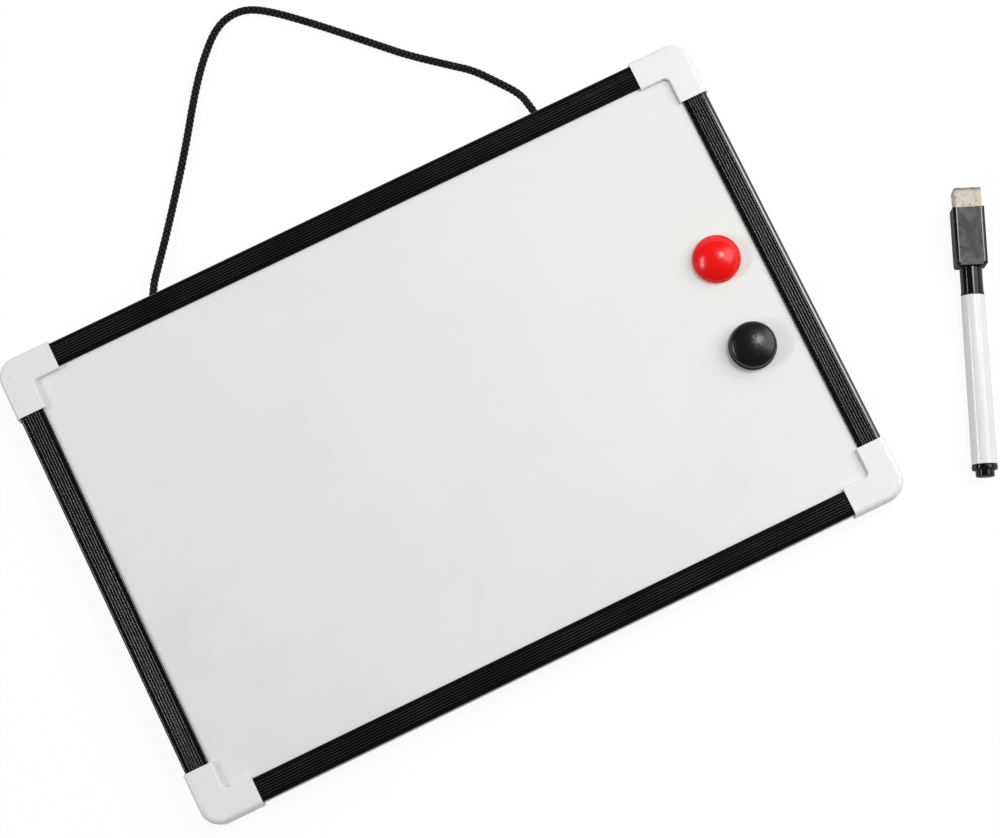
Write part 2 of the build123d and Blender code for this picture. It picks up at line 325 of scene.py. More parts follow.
    def stored(self, name: str, kind: str) -> Socket:
        """Returns a named attribute of a data type."""
        return self.take("GeometryNodeInputNamedAttribute", {"Name": name}, data_type=kind)

    def tube(self, line: Socket, section: Socket) -> Socket:
        """Returns the closed tube that a section makes along a line."""
        return self.take("GeometryNodeCurveToMesh",
                         {"Curve": line, "Profile Curve": section, "Fill Caps": True})

    def close(self, parts: tuple[Socket, ...], material: Socket, smooth: bool = False) -> Tree:
        """Joins and realises parts, gives them a material and ends a geometry tree.

        Args:
            parts: geometry of each part.
            material: their material.
            smooth: whether they are shaded smooth.

        Returns:
            The tree.
        """
        joined = self.add("GeometryNodeJoinGeometry")
        for part in parts:
            self.feed(joined.inputs[0], part)
        whole = joined.outputs[0]
        if smooth:
            whole = self.take("GeometryNodeSetShadeSmooth", {"Geometry": whole})
        whole = self.take("GeometryNodeRealizeInstances", {"Geometry": whole})
        done = self.take("GeometryNodeSetMaterial", {"Geometry": whole, "Material": material})
        self.add("NodeGroupOutput", {0: done})
        return self.tree


class Effects:
    """Shader node groups that several finishes share. Each is built once.

    Each set of hairs in the scratches has a turn of its noise, so that the sets differ, and a
    scale along Y and Z, which draws its lines out that way.
    """

    built: ClassVar[dict[str, Tree]] = {}
    samples: ClassVar[int] = 6
    edge_fade: ClassVar[tuple[float, float]] = (0.995, 0.90)
    groove_fade: ClassVar[tuple[float, float]] = (0.9, 0.35)
    tone_fade: ClassVar[tuple[float, float]] = (0.3, 0.7)
    tone_height: ClassVar[float] = 0.6
    hairs: ClassVar[tuple[tuple[float, float], ...]] = ((0.35, 0.06), (-0.9, 0.09), (1.9, 0.05))
    hair_width: ClassVar[float] = 0.012
    hair_patches: ClassVar[float] = 0.25

    @classmethod
    def place(cls, w: Wiring, effect: Callable[[], Tree], at: Socket,
              **numbers: float) -> Outputs:
        """Places a group in a material.

        Args:
            w: the material's wiring.
            effect: the method that builds the group.
            at: Object coordinates.
            numbers: value of each of the group's other inputs, in lower case.

        Returns:
            The group's outputs.
        """
        name = effect.__name__
        if name not in cls.built:
            cls.built[name] = effect()
        inputs = {label.replace("_", " ").title(): value for label, value in numbers.items()}
        return w.add("ShaderNodeGroup", {"Vector": at, **inputs},
                     node_tree=cls.built[name]).outputs

    @staticmethod
    def start(name: str, numbers: dict[str, float]) -> tuple[Wiring, Outputs]:
        """Starts a group.

        Args:
            name: the group's name.
            numbers: default of each number input, after the vector.

        Returns:
            The group's wiring and what its inputs bring.
        """
        tree = bpy.data.node_groups.new(name, "ShaderNodeTree")
        tree.interface.new_socket("Vector", in_out="INPUT", socket_type="NodeSocketVector")
        for label, default in numbers.items():
            tree.interface.new_socket(
                label, in_out="INPUT", socket_type="NodeSocketFloat").default_value = default
        w = Wiring(tree)
        return w, w.add("NodeGroupInput").outputs

    @staticmethod
    def end(w: Wiring, **results: Socket) -> Tree:
        """Ends a group.

        Args:
            w: the group's wiring.
            results: value of each number output.

        Returns:
            The group's tree.
        """
        for label in results:
            w.tree.interface.new_socket(label, in_out="OUTPUT", socket_type="NodeSocketFloat")
        w.add("NodeGroupOutput", results)
        return w.tree

    @classmethod
    def edge_wear(cls) -> Tree:
        """Builds a mask of outer edges that handling has rubbed, in patches.

        Returns:
            The group's tree.
        """
        w, given = cls.start("edge_wear", {"Radius": 0.0004, "Patch Scale": 60.0})
        rounded = w.take("ShaderNodeBevel", {"Radius": given["Radius"]}, samples=cls.samples)
        true = w.add("ShaderNodeNewGeometry").outputs["Normal"]
        edge = w.spread(w.vector("DOT_PRODUCT", rounded, true), *cls.edge_fade)
        patch = Grain(given["Patch Scale"], 4.0, 0.6, low=0.42, high=0.66)
        return cls.end(w, Mask=w.times(edge, w.patches(given["Vector"], patch)))

    @classmethod
    def moulded_skin(cls) -> Tree:
        """Builds the fine skin of moulded plastic: a height, and a slow change of tone.

        Returns:
            The group's tree.
        """
        w, given = cls.start("moulded_skin", {"Scale": 900.0, "Tone Scale": 25.0})
        fine = w.noise(given["Vector"], Grain(given["Scale"], 3.0, 0.55))
        slow = w.noise(given["Vector"], Grain(given["Tone Scale"], 3.0, 0.5, 0.6))
        return cls.end(w, Height=w.total(fine, (slow, cls.tone_height)),
                       Tone=w.spread(slow, *cls.tone_fade))

    @classmethod
    def specks(cls) -> Tree:
        """Builds a mask of small round specks of dust, in a given share of the cells.

        Returns:
            The group's tree.
        """
        w, given = cls.start("specks", {"Scale": 400.0, "Share": 0.2, "Size": 0.25})
        cells = w.add("ShaderNodeTexVoronoi", {
            "Vector": given["Vector"], "Scale": given["Scale"]}).outputs
        pick = w.add("ShaderNodeSeparateColor", {"Color": cells["Color"]}).outputs
        chosen = w.math("LESS_THAN", pick[0], given["Share"])
        inside = w.math("LESS_THAN", cells["Distance"], w.times(given["Size"], pick[1]))
        return cls.end(w, Mask=w.times(chosen, inside))

    @classmethod
    def scratches(cls) -> Tree:
        """Builds a mask of fine hair scratches, thicker in some patches.

        Returns:
            The group's tree.
        """
        w, given = cls.start("scratches", {"Scale": 120.0, "Amount": 0.5})
        at, scale = given["Vector"], given["Scale"]
        sets = []
        for turn, long in cls.hairs:
            wave = w.noise(at, Grain(scale, warp=0.15, stretch=(1.0, long, long), turn=turn))
            off = w.math("ABSOLUTE", w.math("SUBTRACT", wave, 0.5))
            sets.append(w.spread(off, cls.hair_width, 0.0))
        hairs = w.math("MAXIMUM", sets[0], w.math("MAXIMUM", sets[1], sets[2]))
        patch = Grain(w.times(scale, cls.hair_patches), 3.0, low=0.38, high=0.68)
        masked = w.times(hairs, w.patches(at, patch))
        return cls.end(w, Mask=w.math("MULTIPLY", masked, given["Amount"], clamp=True))

    @classmethod
    def crevice_dust_and_shade(cls) -> Tree:
        """Builds a mask of grooves and inner corners, from ambient occlusion: where dust stays,
        and where shade falls.

        Returns:
            The group's tree.
        """
        w, given = cls.start("crevice_dust_and_shade", {"Reach": 0.0008, "Patch Scale": 80.0})
        open_share = w.add("ShaderNodeAmbientOcclusion", {"Distance": given["Reach"]},
                           samples=cls.samples).outputs["AO"]
        deep = w.spread(open_share, *cls.groove_fade)
        patch = Grain(given["Patch Scale"], 4.0, 0.65, low=0.3, high=0.7)
        return cls.end(w, Mask=w.times(deep, w.patches(given["Vector"], patch)))


# ---------------------------------------------------------------- finishes


@dataclass(frozen=True)
class Finish:
    """A material made of nodes. Each kind of surface is a subclass that wires its own."""

    name: str

    def material(self) -> bpy.types.Material:
        """Wires the material on its first use.

        Returns:
            The material.
        """
        found = bpy.data.materials.get(self.name)
        if found is not None:
            return found
        made = bpy.data.materials.new(self.name)
        made.use_nodes = True
        made.node_tree.nodes.clear()
        w = Wiring(made.node_tree)
        at = w.add("ShaderNodeTexCoord").outputs["Object"]
        shader = w.take("ShaderNodeBsdfPrincipled", self.wire(w, at))
        w.add("ShaderNodeOutputMaterial", {"Surface": self.surface(w, shader)})
        return made

    def wire(self, w: Wiring, at: Socket) -> dict[str, object]:
        """Wires what feeds the Principled shader.

        Args:
            w: wiring of the material's tree.
            at: Object coordinates.

        Returns:
            Value or linked socket for each of the shader's inputs that is set.
        """
        raise NotImplementedError

    def surface(self, w: Wiring, shader: Socket) -> Socket:
        """Returns what the material's output gets: the shader, where nothing is mixed in."""
        return shader


@dataclass(frozen=True)
class WhiteEnamel(Finish):
    """Gloss dry-wipe enamel on steel, with wiped-off haze, stray specks and a faint waviness.

    Round the bottom-left corner the colour is painted darker and bluish: painted shade, where the
    light falls off towards that corner.
    """

    colour: Colour = (0.820, 0.836, 0.812)
    haze: Colour = (0.785, 0.806, 0.790)
    haze_share: float = 0.80
    haze_grain: Grain = Grain(8.0, 4.0, 0.6, 1.2, low=0.35, high=0.7)
    soil: Colour = (0.62, 0.63, 0.63)
    wiping_share: float = 0.07
    wiping_grain: Grain = Grain(1.0, 4.0, 0.55, 0.8, (16.0, 34.0, 1.0), low=0.5, high=0.78)
    speck_share: float = 0.30
    # painted shade: the darker bluish colour laid round the bottom-left corner, and how much of
    # it shows
    corner_shade: Colour = (0.690, 0.725, 0.705)
    corner_shade_share: float = 0.55
    corner_shade_base: float = 0.6
    shaded_corner: Point = (-0.145, -0.095, 0.0)
    shaded_corner_reach: tuple[float, float] = (0.01, 0.12)
    roughness: float = 0.10
    haze_roughness: float = 0.03
    wiping_roughness: float = 0.06
    index: float = 1.5
    waves: Grain = Grain(9.0, 1.0)
    peel: Grain = Grain(700.0, 2.0)
    peel_height: float = 0.004
    relief: Relief = (0.0012, 0.35)

    def wire(self, w: Wiring, at: Socket) -> dict[str, object]:
        """Wires haze, wiping streaks, painted shade at the bottom-left corner, specks and the
        waviness.

        Args:
            w: wiring of the material's tree.
            at: Object coordinates.

        Returns:
            Value or linked socket for each input that is set.
        """
        haze = w.patches(at, self.haze_grain)
        wiping = w.patches(at, self.wiping_grain)
        # painted shade, strongest at the bottom-left corner and fading out within its reach
        corner_shading = w.spread(w.vector("DISTANCE", at, self.shaded_corner), *self.shaded_corner_reach,
                        self.corner_shade_share, 0.0)
        dust = Effects.place(w, Effects.specks, at, scale=180.0, share=0.035, size=0.10)[0]
        base = w.coats(self.colour, (haze, self.haze_share, self.haze),
                       (wiping, self.wiping_share, self.soil))
        base = w.blend(w.times(corner_shading, w.plus(self.corner_shade_base, haze)), base, self.corner_shade)
        skin = w.total(w.noise(at, self.waves), (w.noise(at, self.peel), self.peel_height))
        return {
            "Base Color": w.coats(base, (dust, self.speck_share, self.soil)),
            "Roughness": w.total(self.roughness, (haze, self.haze_roughness),
                                 (wiping, self.wiping_roughness)),
            "Normal": w.relief((skin, self.relief)),
            "IOR": self.index,
        }


@dataclass(frozen=True)
class DrawnPlastic(Finish):
    """Black plastic drawn through a die, with fine lines along it, dust, and rib crests painted
    paler as painted highlight.

    The relief sharpens the crests of the ribs, which lie side by side about the rail's middle.
    """

    run: Run
    middle: float
    # colour of the painted highlight laid along the rib crests
    crest: Colour
    colour: Colour = (0.0036, 0.0035, 0.0038)
    rubbed: Colour = (0.040, 0.038, 0.036)
    rubbed_share: float = 0.22
    dust: Colour = (0.060, 0.052, 0.044)
    dust_share: float = 0.07
    lint_share: float = 0.35
    rib_pitch: float = 0.00109
    rib_count: int = 6
    rib_sharpness: float = 6.0
    rib_relief: Relief = (0.00040, 1.0)
    highlight_patches: Grain = Grain(22.0, 3.0, low=0.38, high=0.62)
    highlight_patch_levels: tuple[float, float] = (0.55, 1.15)
    lines: Grain = Grain(1.0, 3.0, 0.6)
    line_scales: tuple[float, float] = (12.0, 2600.0)
    line_relief: Relief = (0.00001, 0.6)
    skin_relief: Relief = (0.000006, 0.5)
    roughness: float = 0.09
    tone_roughness: float = 0.04
    line_roughness: float = 0.03
    dust_roughness: float = 0.1
    shine: float = 0.45

    def wire(self, w: Wiring, at: Socket) -> dict[str, object]:
        """Wires ribs and die lines along the rail, painted highlight on the rib crests, dust in
        the grooves and wear on the edges.

        Args:
            w: wiring of the material's tree.
            at: Object coordinates.

        Returns:
            Value or linked socket for each input that is set.
        """
        long, fine = self.line_scales
        scales = (long, fine, fine) if self.run is Run.ALONG_X else (fine, long, fine)
        lines = w.noise(at, replace(self.lines, stretch=scales))
        off = w.math("SUBTRACT", w.axis(at, self.run.value), self.middle)
        rib = w.math("DIVIDE", off, self.rib_pitch)
        ribbed = w.math("LESS_THAN", w.math("ABSOLUTE", rib), self.rib_count / 2)
        crest = w.times(w.math("ABSOLUTE", w.math("SINE", w.times(rib, math.pi))), ribbed)
        highlight_patches = w.spread(w.noise(at, self.highlight_patches), self.highlight_patches.low, self.highlight_patches.high,
                           *self.highlight_patch_levels)
        # painted highlight: the rib crests painted paler, in patches
        crest_highlight = w.times(w.math("POWER", crest, self.rib_sharpness), highlight_patches)
        wear = Effects.place(w, Effects.edge_wear, at, radius=0.00025, patch_scale=140.0)[0]
        dust = Effects.place(w, Effects.crevice_dust_and_shade, at, reach=0.0006, patch_scale=120.0)[0]
        lint = Effects.place(w, Effects.specks, at, scale=900.0, share=0.06, size=0.30)[0]
        skin = Effects.place(w, Effects.moulded_skin, at, scale=1500.0, tone_scale=30.0)
        return {
            "Base Color": w.coats(w.blend(crest_highlight, self.colour, self.crest),
                                  (wear, self.rubbed_share, self.rubbed),
                                  (dust, self.dust_share, self.dust),
                                  (lint, self.lint_share, self.dust)),
            "Roughness": w.total(self.roughness, (skin["Tone"], self.tone_roughness),
                                 (lines, self.line_roughness), (dust, self.dust_roughness)),
            "Specular IOR Level": self.shine,
            "Normal": w.relief((crest, self.rib_relief), (lines, self.line_relief),
                               (skin["Height"], self.skin_relief)),
        }


@dataclass(frozen=True)
class MouldedPlastic(Finish):
    """Injection-moulded plastic, with its skin, hair scratches, rubbed edges and dust; on pale
    mouldings the darker colour in crevices is partly painted shade.

    Some mouldings have walls with a matt grain, and some let a little light in.
    """

    colour: Colour
    tone: Colour
    rubbed: Colour
    dust: Colour
    roughness: float
    wear_share: float
    dust_share: float
    speck_share: float
    scratch_share: float
    scratch_scale: float = 260.0
    hair_share: float = 0.35
    lint_share: float = 0.5
    tone_roughness: float = 0.06
    hair_roughness: float = 0.35
    wear_roughness: float = 0.15
    skin_scale: float = 1400.0
    skin_relief: Relief = (0.000006, 0.6)
    hair_relief: Relief = (0.000004, 0.5)
    shine: float = 0.5
    matt_walls: float = 0.0
    wall_slope: tuple[float, float] = (0.1, 0.3)
    subsurface: float = 0.0
    subsurface_radius: Colour = (0.0012, 0.001, 0.0009)
    subsurface_scale: float = 0.6

    def wire(self, w: Wiring, at: Socket) -> dict[str, object]:
        """Wires tone, wear, crevice dust that is partly painted shade, and scratches over the
        skin, and the walls' matt grain.

        Args:
            w: wiring of the material's tree.
            at: Object coordinates.

        Returns:
            Value or linked socket for each input that is set.
        """
        skin = Effects.place(w, Effects.moulded_skin, at, scale=self.skin_scale, tone_scale=55.0)
        wear = Effects.place(w, Effects.edge_wear, at, radius=0.0004, patch_scale=160.0)[0]
        hairs = Effects.place(w, Effects.scratches, at, scale=self.scratch_scale,
                              amount=self.scratch_share)[0]
        dust = Effects.place(w, Effects.crevice_dust_and_shade, at, reach=0.0009, patch_scale=150.0)[0]
        lint = Effects.place(w, Effects.specks, at, scale=700.0, share=self.speck_share,
                             size=0.28)[0]
        rough = w.total(self.roughness, (skin["Tone"], self.tone_roughness),
                        (hairs, self.hair_roughness), (wear, self.wear_roughness))
        if self.matt_walls:
            faces = w.add("ShaderNodeNewGeometry").outputs["True Normal"]
            level = w.math("ABSOLUTE", w.axis(faces, "Z"))
            rough = w.total(rough, (w.spread(level, *self.wall_slope, 1.0, 0.0),
                                    self.matt_walls))
        sockets = {
            "Base Color": w.coats(w.blend(skin["Tone"], self.colour, self.tone),
                                  (wear, self.wear_share, self.rubbed),
                                  (hairs, self.hair_share, self.rubbed),
                                  # crevice colour: dust, and on pale mouldings also painted shade
                                  # in grooves, corners and where the part meets the table
                                  (dust, self.dust_share, self.dust),
                                  (lint, self.lint_share, self.dust)),
            "Roughness": rough,
            "Specular IOR Level": self.shine,
            "Normal": w.relief((skin["Height"], self.skin_relief), (hairs, self.hair_relief)),
        }
        if self.subsurface:
            sockets |= {"Subsurface Weight": self.subsurface,
                        "Subsurface Radius": self.subsurface_radius,
                        "Subsurface Scale": self.subsurface_scale}
        return sockets


@dataclass(frozen=True)
class BraidedYarn(Finish):
    """Filament yarn of the braid. Its outer side, where it stands out, is painted paler along the
    filaments: partly worn nap, partly painted highlight.

    Attributes of the mesh say how far round (around) and along (along) its yarn a point is,
    and how far the yarn stands out of the braid there (proud).
    """

    colour: Colour = (0.0026, 0.0024, 0.0026)
    # pale colour of the proud yarns: worn nap and painted highlight
    worn_and_highlight: Colour = (0.110, 0.102, 0.098)
    filaments: float = 11.0
    twist: float = 90.0
    sway: Grain = Grain(900.0, 2.0)
    nap: Grain = Grain(1500.0, 3.0, 0.6, low=0.40, high=0.70)
    nap_share: float = 0.7
    ridge_share: float = 0.5
    outer_side: tuple[float, float] = (0.2, 1.0)
    proud_range: tuple[float, float] = (-0.1, 0.9)
    filament_relief: Relief = (0.00006, 0.8)
    nap_relief: Relief = (0.00003, 0.5)
    roughness: float = 0.32
    nap_roughness: float = 0.2
    shine: float = 0.08
    sheen: float = 0.02
    sheen_roughness: float = 0.4

    def wire(self, w: Wiring, at: Socket) -> dict[str, object]:
        """Wires filaments along each yarn, and a paler colour on the outer side of proud yarns:
        partly worn nap, partly painted highlight along the filaments.

        Args:
            w: wiring of the material's tree.
            at: Object coordinates.

        Returns:
            Value or linked socket for each input that is set.
        """
        around, along = w.attribute("around"), w.attribute("along")
        turns = w.total(w.times(around, self.filaments), (along, self.twist))
        turns = w.plus(turns, w.noise(at, self.sway))
        ridge = w.spread(w.math("SINE", w.times(turns, FULL_TURN)), -1.0, 1.0)
        nap = w.patches(at, self.nap)
        # painted highlight: the yarn's outer side, where it stands proud, painted paler, with
        # stripes along its filaments
        outward_highlight = w.spread(w.math("COSINE", w.times(around, FULL_TURN)), *self.outer_side)
        light = w.times(outward_highlight, w.spread(w.attribute("proud"), *self.proud_range))
        for mask, share in ((nap, self.nap_share), (ridge, self.ridge_share)):
            light = w.times(light, w.total(1 - share, (mask, share)))
        return {
            "Base Color": w.blend(light, self.colour, self.worn_and_highlight),
            "Roughness": w.total(self.roughness, (nap, self.nap_roughness)),
            "Normal": w.relief((ridge, self.filament_relief), (nap, self.nap_relief)),
            "Specular IOR Level": self.shine,
            "Sheen Weight": self.sheen,
            "Sheen Roughness": self.sheen_roughness,
        }


@dataclass(frozen=True)
class WornFelt(Finish):
    """Pressed wool felt with tangled fibres, inked at its used end.

    An attribute of the mesh, soil, grows towards that end.
    """

    colour: Colour = (0.60, 0.53, 0.43)
    pale: Colour = (0.75, 0.69, 0.59)
    ink: Colour = (0.055, 0.055, 0.060)
    mottle: Grain = Grain(900.0, 4.0, 0.65, low=0.35, high=0.68)
    tangle: Grain = Grain(1.0, 5.0, 0.7, 1.4, (2600.0, 900.0, 1800.0))
    tangle_relief: Relief = (0.00012, 0.9)
    spots: Grain = Grain(900.0, 5.0, 0.7, 0.8, low=0.53, high=0.66)
    spot_share: float = 0.75
    smear: Grain = Grain(500.0, 4.0, 0.6, low=0.75, high=1.25)
    smear_blur: float = 0.5
    smear_share: float = 0.9
    roughness: float = 0.88
    mottle_roughness: float = 0.08
    sheen: float = 0.25
    sheen_roughness: float = 0.6

    def wire(self, w: Wiring, at: Socket) -> dict[str, object]:
        """Wires mottled wool, tangled fibres and ink picked up from the board.

        Args:
            w: wiring of the material's tree.
            at: Object coordinates.

        Returns:
            Value or linked socket for each input that is set.
        """
        mottle = w.patches(at, self.mottle)
        soil = w.total(w.attribute("soil"), (w.noise(at, self.smear), self.smear_blur))
        return {
            "Base Color": w.coats(
                w.blend(mottle, self.colour, self.pale),
                (w.patches(at, self.spots), self.spot_share, self.ink),
                (w.spread(soil, self.smear.low, self.smear.high), self.smear_share, self.ink)),
            "Roughness": w.total(self.roughness, (mottle, self.mottle_roughness)),
            "Normal": w.relief((w.noise(at, self.tangle), self.tangle_relief)),
            "Sheen Weight": self.sheen,
            "Sheen Roughness": self.sheen_roughness,
        }


@dataclass(frozen=True)
class BondedMagnet(Finish):
    """Matt bonded ferrite, cut as a strip or pressed as a disc, scuffed by sliding on steel."""

    colour: Colour = (0.014, 0.015, 0.015)
    scuff: Colour = (0.185, 0.185, 0.180)
    cloud: Grain = Grain(150.0, 6.0, 0.7, 0.9, low=0.42, high=0.62)
    cloud_share: float = 0.48
    hair_share: float = 0.6
    grain: Grain = Grain(3200.0, 3.0, 0.6)
    relief: Relief = (0.00003, 0.6)
    roughness: float = 0.50
    cloud_roughness: float = 0.14

    def wire(self, w: Wiring, at: Socket) -> dict[str, object]:
        """Wires a grainy surface with clouds of scuffs and hair scratches.

        Args:
            w: wiring of the material's tree.
            at: Object coordinates.

        Returns:
            Value or linked socket for each input that is set.
        """
        cloud = w.patches(at, self.cloud)
        hairs = Effects.place(w, Effects.scratches, at, scale=420.0, amount=0.9)[0]
        return {
            "Base Color": w.coats(self.colour, (cloud, self.cloud_share, self.scuff),
                                  (hairs, self.hair_share, self.scuff)),
            "Roughness": w.total(self.roughness, (cloud, self.cloud_roughness)),
            "Normal": w.relief((w.noise(at, self.grain), self.relief)),
        }


@dataclass(frozen=True)
class BackLiner(Finish):
    """Grey lacquered sheet on the back of the panel, with a stipple and handling marks."""

    colour: Colour = (0.43, 0.45, 0.47)
    mark: Colour = (0.30, 0.31, 0.32)
    mark_share: float = 0.35
    blotch: Grain = Grain(22.0, 4.0, 0.6, 0.6, low=0.4, high=0.7)
    scratch: Colour = (0.56, 0.58, 0.60)
    scratch_share: float = 0.5
    dust: Colour = (0.62, 0.58, 0.52)
    dust_share: float = 0.4
    stipple: Grain = Grain(1100.0, 3.0, 0.6)
    relief: Relief = (0.00002, 0.5)
    roughness: float = 0.36
    stipple_roughness: float = 0.2

    def wire(self, w: Wiring, at: Socket) -> dict[str, object]:
        """Wires a fine stipple, slow blotches, long scratches and dust.

        Args:
            w: wiring of the material's tree.
            at: Object coordinates.

        Returns:
            Value or linked socket for each input that is set.
        """
        stipple = w.noise(at, self.stipple)
        hairs = Effects.place(w, Effects.scratches, at, scale=60.0, amount=0.8)[0]
        dust = Effects.place(w, Effects.specks, at, scale=300.0, share=0.05, size=0.2)[0]
        return {
            "Base Color": w.coats(self.colour,
                                  (w.patches(at, self.blotch), self.mark_share, self.mark),
                                  (hairs, self.scratch_share, self.scratch),
                                  (dust, self.dust_share, self.dust)),
            "Roughness": w.total(self.roughness, (stipple, self.stipple_roughness)),
            "Normal": w.relief((stipple, self.relief)),
        }


@dataclass(frozen=True)
class Fibre(Finish):
    """Fibrous stuff in two tones, with flecks or strands that follow its grain."""

    colour: Colour
    pale: Colour
    grain: Grain
    roughness: float
    grain_roughness: float
    relief: Relief = (0.00008, 1.0)

    def wire(self, w: Wiring, at: Socket) -> dict[str, object]:
        """Wires the flecks or strands.

        Args:
            w: wiring of the material's tree.
            at: Object coordinates.

        Returns:
            Value or linked socket for each input that is set.
        """
        strand = w.noise(at, self.grain)
        return {
            "Base Color": w.blend(w.spread(strand, self.grain.low, self.grain.high),
                                  self.colour, self.pale),
            "Roughness": w.total(self.roughness, (strand, self.grain_roughness)),
            "Normal": w.relief((strand, self.relief)),
        }


@dataclass(frozen=True)
class Sweep(Finish):
    """Matt white table. What looks straight at it or mirrors it sees white under the shadows."""

    colour: Colour = grey(0.60)
    patch: Colour = grey(0.59)
    patch_grain: Grain = Grain(3.0, 2.0)
    glow: float = 0.86
    mirrored_glow: float = 0.45
    glow_strength: float = 1.07

    def wire(self, w: Wiring, at: Socket) -> dict[str, object]:
        """Wires a matt surface.

        Args:
            w: wiring of the material's tree.
            at: Object coordinates.

        Returns:
            Value or linked socket for each input that is set.
        """
        return {
            "Base Color": w.blend(w.noise(at, self.patch_grain), self.colour, self.patch),
            "Roughness": 1.0,
            "Specular IOR Level": 0.0,
        }

    def surface(self, w: Wiring, shader: Socket) -> Socket:
        """Mixes in white for camera, mirrored and refracted rays.

        Args:
            w: wiring of the material's tree.
            shader: the matt surface.

        Returns:
            The mix.
        """
        seen, mirrored, _ = w.rays()
        share = w.math("MAXIMUM", w.times(seen, self.glow), w.times(mirrored, self.mirrored_glow))
        white = w.take("ShaderNodeEmission", {"Color": grey(1.0),
                                              "Strength": self.glow_strength})
        return w.take("ShaderNodeMixShader", {0: share, 1: shader, 2: white})


# ---------------------------------------------------------------- pieces


def dress(node: str, finish: Finish) -> None:
    """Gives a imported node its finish, and reports it.

    Args:
        node: the node's name.
        finish: its material.
    """
    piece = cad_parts[node]
    for slot in piece.material_slots:
        slot.material = finish.material()
    log.info("dressed %s", piece.name)


def middle_of(node: str) -> Vector:
    """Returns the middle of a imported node's box."""
    return sum(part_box(node), Vector()) / 2


def new_piece(name: str, data: bpy.types.ID) -> Piece:
    """Makes an object and links it to the scene.

    Args:
        name: its name.
        data: its mesh, curve, lamp or camera.

    Returns:
        The object.
    """
    piece = bpy.data.objects.new(name, data)
    bpy.context.scene.collection.objects.link(piece)
    return piece


def geometry_tree(name: str, sizes: dict[str, object]) -> tuple[Wiring, Outputs]:
    """Starts a Geometry Nodes tree with named inputs.

    Args:
        name: the tree's name.
        sizes: default of each input after the geometry: a number or a material.

    Returns:
        The wiring, and what the tree's inputs bring.
    """
    kinds = {int: "NodeSocketInt", float: "NodeSocketFloat",
             bpy.types.Material: "NodeSocketMaterial"}
    tree = bpy.data.node_groups.new(name, "GeometryNodeTree")
    for way in ("INPUT", "OUTPUT"):
        tree.interface.new_socket("Geometry", in_out=way, socket_type="NodeSocketGeometry")
    for label, default in sizes.items():
        tree.interface.new_socket(label, in_out="INPUT",
                                  socket_type=kinds[type(default)]).default_value = default
    w = Wiring(tree)
    return w, w.add("NodeGroupInput").outputs


def grown_piece(name: str, source: Piece, tree: Tree, sizes: dict[str, object]) -> Piece:
    """Runs a Geometry Nodes tree on an object and keeps the result in the object's place.

    Args:
        name: name of the new piece.
        source: the object that the tree starts from.
        tree: the Geometry Nodes tree.
        sizes: value of each of the tree's inputs, by its name.

    Returns:
        The new piece, with a plain mesh.
    """
    modifier = source.modifiers.new(tree.name, "NODES")
    modifier.node_group = tree
    identifiers = {item.name: item.identifier for item in tree.interface.items_tree
                   if item.item_type == "SOCKET" and item.in_out == "INPUT"}
    for label, value in sizes.items():
        modifier[identifiers[label]] = value
    source.update_tag()
    graph = bpy.context.evaluated_depsgraph_get()
    graph.update()
    mesh = bpy.data.meshes.new_from_object(source.evaluated_get(graph))
    mesh.name = name
    bpy.data.objects.remove(source)
    return new_piece(name, mesh)


# ---------------------------------------------------------------- panel, rails and corners


@dataclass
class WritingPanel:
    """Coated steel sheet over a fibreboard core and a lacquered back."""

    face: Finish = WhiteEnamel("white_dry_wipe_enamel")
    core: Finish = Fibre(
        "pressed_fibreboard", colour=(0.42, 0.29, 0.17), pale=(0.58, 0.43, 0.28),
        grain=Grain(1.0, 6.0, 0.7, 0.5, (260.0, 260.0, 1400.0), low=0.35, high=0.65),
        roughness=0.8, grain_roughness=0.15)
    back: Finish = BackLiner("grey_back_lacquer")

    def build(self) -> None:
        """Dresses the three layers."""
        dress("writing_sheet", self.face)
        dress("core_board", self.core)
        dress("back_sheet", self.back)


@dataclass
class RibbedRails:
    """Four ribbed channels round the panel. The short ones have paler painted highlights on their
    rib crests.
    """

    runs: tuple[tuple[str, Run], ...] = (
        ("top", Run.ALONG_X), ("bottom", Run.ALONG_X),
        ("left", Run.ALONG_Y), ("right", Run.ALONG_Y))
    long_crest_highlight: Colour = grey(0.030)
    short_crest_highlight: Colour = grey(0.046)

    def build(self) -> None:
        """Dresses each rail with ribs and lines that run along it."""
        for side, run in self.runs:
            middle = middle_of(f"{side}_rail")
            # crest: colour of the painted highlight on the rib crests, paler on the short rails
            across, crest = ((middle.y, self.long_crest_highlight) if run is Run.ALONG_X
                             else (middle.x, self.short_crest_highlight))
            dress(f"{side}_rail", DrawnPlastic(f"black_{side}_rail", run, across, crest))


@dataclass
class CornerCaps:
    """Four white moulded caps."""

    # the caps' darker crevice colour is partly painted shade, in corners and at the foot against
    # the table
    finish: Finish = MouldedPlastic(
        "white_corner_plastic", colour=(0.825, 0.83, 0.835), tone=(0.805, 0.81, 0.815),
        rubbed=grey(0.84), dust=(0.50, 0.48, 0.46), roughness=0.20, wear_share=0.2,
        dust_share=0.3, speck_share=0.01, scratch_share=0.15, subsurface=0.10)

    def build(self) -> None:
        """Dresses the caps."""
        for corner in ("top_left", "top_right", "bottom_left", "bottom_right"):
            dress(f"corner_{corner}", self.finish)


# ---------------------------------------------------------------- cord


